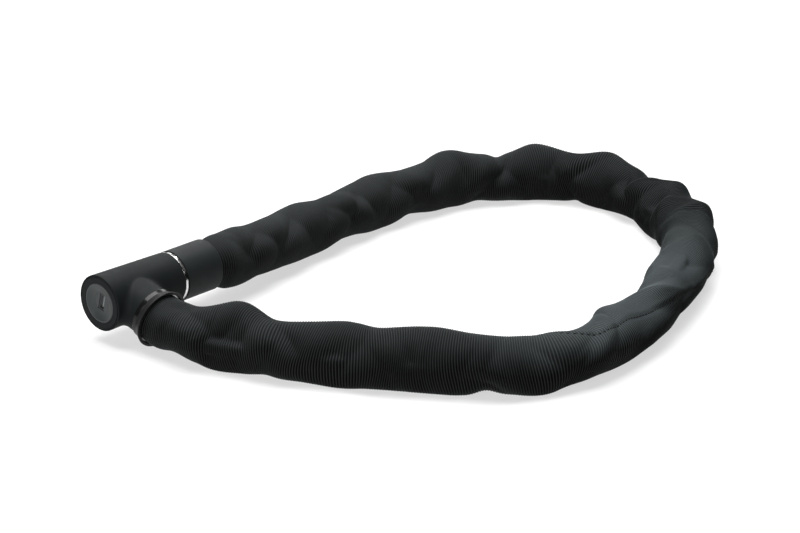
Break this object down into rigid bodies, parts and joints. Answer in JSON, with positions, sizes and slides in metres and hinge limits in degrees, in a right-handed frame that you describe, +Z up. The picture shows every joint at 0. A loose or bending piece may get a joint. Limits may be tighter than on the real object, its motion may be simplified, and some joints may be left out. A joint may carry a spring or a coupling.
{
  "type": "chain lock",
  "caption": "Chain lock: square-link chain in a ribbed textile sleeve, joined in a loop by a cylindrical lock head with a keyed end and a pull-out end cap.",
  "frame": {"origin": "on the surface the lock lies on, under the middle of the whole loop's box", "axes": "+X along the lock head from its key face to its end cap, +Z up from the surface, +Y away from the head's branch"},
  "size_m": [0.4541, 0.32, 0.0482],
  "materials": {
    "soft_touch_black": "soft-touch matte coat",
    "dish_plastic": "satin",
    "collar_black": "matte",
    "gloss_black": "polished",
    "dark_seal": "matte",
    "rubber": "matte",
    "chrome": "polished",
    "brass": "machined",
    "plug_metal": "black coated",
    "shutter_metal": "satin",
    "steel": "ground",
    "spring_steel": "drawn",
    "chain_steel": "hardened, dark plated",
    "sleeve_fabric": "ribbed weave"
  },
  "bodies": {
    "lock_body": {"lock_housing": "soft_touch_black", "bezel_ring": "soft_touch_black", "face_dish": "dish_plastic", "cylinder_barrel": "brass", "barrel_pins": "steel", "bolt_carrier": "steel", "body_liner": "steel", "ring_carrier": "dark_seal", "joint_ring": "chrome", "anchor_pin": "steel", "gloss_ring": "gloss_black", "collar": "collar_black", "branch_crimp_ring": "spring_steel", "chain_a0": "chain_steel", "sleeve_a0": "sleeve_fabric"},
    "key_plug": {"key_plug": "plug_metal", "key_discs": "brass", "plug_clip": "spring_steel", "lock_cam": "steel", "shutter_pin": "steel", "shutter_spring": "spring_steel"},
    "keyway_shutter": {"keyway_shutter": "shutter_metal"},
    "upper_lock_bolt": {"upper_lock_bolt": "steel"},
    "lower_lock_bolt": {"lower_lock_bolt": "steel"},
    "end_cap": {"end_cap": "soft_touch_black", "cap_core": "steel", "locking_pin": "steel", "pin_seal_ring": "rubber", "cap_chain_pin": "steel", "cap_crimp_ring": "spring_steel", "chain_b0": "chain_steel", "sleeve_b0": "sleeve_fabric"},
    "chain_a1": {"chain_a1": "chain_steel", "sleeve_a1": "sleeve_fabric"},
    "chain_a2": {"chain_a2": "chain_steel", "sleeve_a2": "sleeve_fabric"},
    "chain_a3": {"chain_a3": "chain_steel", "sleeve_a3": "sleeve_fabric"},
    "chain_a4": {"chain_a4": "chain_steel", "sleeve_a4": "sleeve_fabric"},
    "chain_b1": {"chain_b1": "chain_steel", "sleeve_b1": "sleeve_fabric"},
    "chain_b2": {"chain_b2": "chain_steel", "sleeve_b2": "sleeve_fabric"},
    "chain_b3": {"chain_b3": "chain_steel", "sleeve_b3": "sleeve_fabric"},
    "chain_b4": {"chain_b4": "chain_steel", "sleeve_b4": "sleeve_fabric"}
  },
  "joints": [
    {"name": "key_turn", "type": "hinge", "parent": "lock_body", "child": "key_plug", "pos_m": [-0.2126, 0.1248, 0.0291], "axis": [1, 0, 0], "range_deg": [0, 90]},
    {"name": "shutter_swing", "type": "hinge", "parent": "key_plug", "child": "keyway_shutter", "pos_m": [-0.223, 0.12717, 0.02973], "axis": [0, -0.2588, 0.9659], "range_deg": [0, 85], "stiffness_Nm_per_rad": 0.0004, "springref_deg": -20.05},
    {"name": "upper_bolt_slide", "type": "slide", "parent": "lock_body", "child": "upper_lock_bolt", "axis": [0, 0.2588, -0.9659], "range_m": [0, 0.0023]},
    {"name": "lower_bolt_slide", "type": "slide", "parent": "lock_body", "child": "lower_lock_bolt", "axis": [0, -0.2588, 0.9659], "range_m": [0, 0.0023]},
    {"name": "cap_slide", "type": "slide", "parent": "lock_body", "child": "end_cap", "axis": [1, 0, 0], "range_m": [0, 0.048]},
    {"name": "chain_a1_hinge", "type": "hinge", "parent": "lock_body", "child": "chain_a1", "pos_m": [-0.20417, 0.07118, 0.01828], "axis": [0, 0, 1], "range_deg": [0, 6.07]},
    {"name": "chain_a2_hinge", "type": "hinge", "parent": "chain_a1", "child": "chain_a2", "pos_m": [-0.17631, -0.01005, 0.01722], "axis": [0, 0, 1], "range_deg": [0, 1.51]},
    {"name": "chain_a3_hinge", "type": "hinge", "parent": "chain_a2", "child": "chain_a3", "pos_m": [-0.13261, -0.08464, 0.0172], "axis": [0, 0, 1], "range_deg": [-4.76, 0]},
    {"name": "chain_a4_hinge", "type": "hinge", "parent": "chain_a3", "child": "chain_a4", "pos_m": [-0.01119, -0.14249, 0.0172], "axis": [0, 0, 1], "range_deg": [-6.25, 0]},
    {"name": "chain_b1_hinge", "type": "hinge", "parent": "end_cap", "child": "chain_b1", "pos_m": [-0.11712, 0.12533, 0.02805], "axis": [0, 0, 1], "range_deg": [0, 5.56]},
    {"name": "chain_b2_hinge", "type": "hinge", "parent": "chain_b1", "child": "chain_b2", "pos_m": [0.02555, 0.14244, 0.0176], "axis": [0, 0, 1], "range_deg": [-7.9, 0]},
    {"name": "chain_b3_hinge", "type": "hinge", "parent": "chain_b2", "child": "chain_b3", "pos_m": [0.13927, 0.1296, 0.01721], "axis": [0, 0, 1], "range_deg": [-4.48, 0]},
    {"name": "chain_b4_hinge", "type": "hinge", "parent": "chain_b3", "child": "chain_b4", "pos_m": [0.19943, -0.00941, 0.0172], "axis": [0, 0, 1], "range_deg": [0, 3.37]}
  ],
  "couplings": [
    {"joint": "upper_bolt_slide", "follows": "key_turn", "m_per_rad": 0.0014642},
    {"joint": "lower_bolt_slide", "follows": "key_turn", "m_per_rad": 0.0014642},
    {"joint": "chain_a1_hinge", "follows": "cap_slide", "rad_per_m": 2.2016},
    {"joint": "chain_a2_hinge", "follows": "cap_slide", "rad_per_m": 0.54542},
    {"joint": "chain_a3_hinge", "follows": "cap_slide", "rad_per_m": -1.7255},
    {"joint": "chain_a4_hinge", "follows": "cap_slide", "rad_per_m": -2.2686},
    {"joint": "chain_b1_hinge", "follows": "cap_slide", "rad_per_m": 2.0182},
    {"joint": "chain_b2_hinge", "follows": "cap_slide", "rad_per_m": -2.8686},
    {"joint": "chain_b3_hinge", "follows": "cap_slide", "rad_per_m": -1.626},
    {"joint": "chain_b4_hinge", "follows": "cap_slide", "rad_per_m": 1.2213}
  ]
}
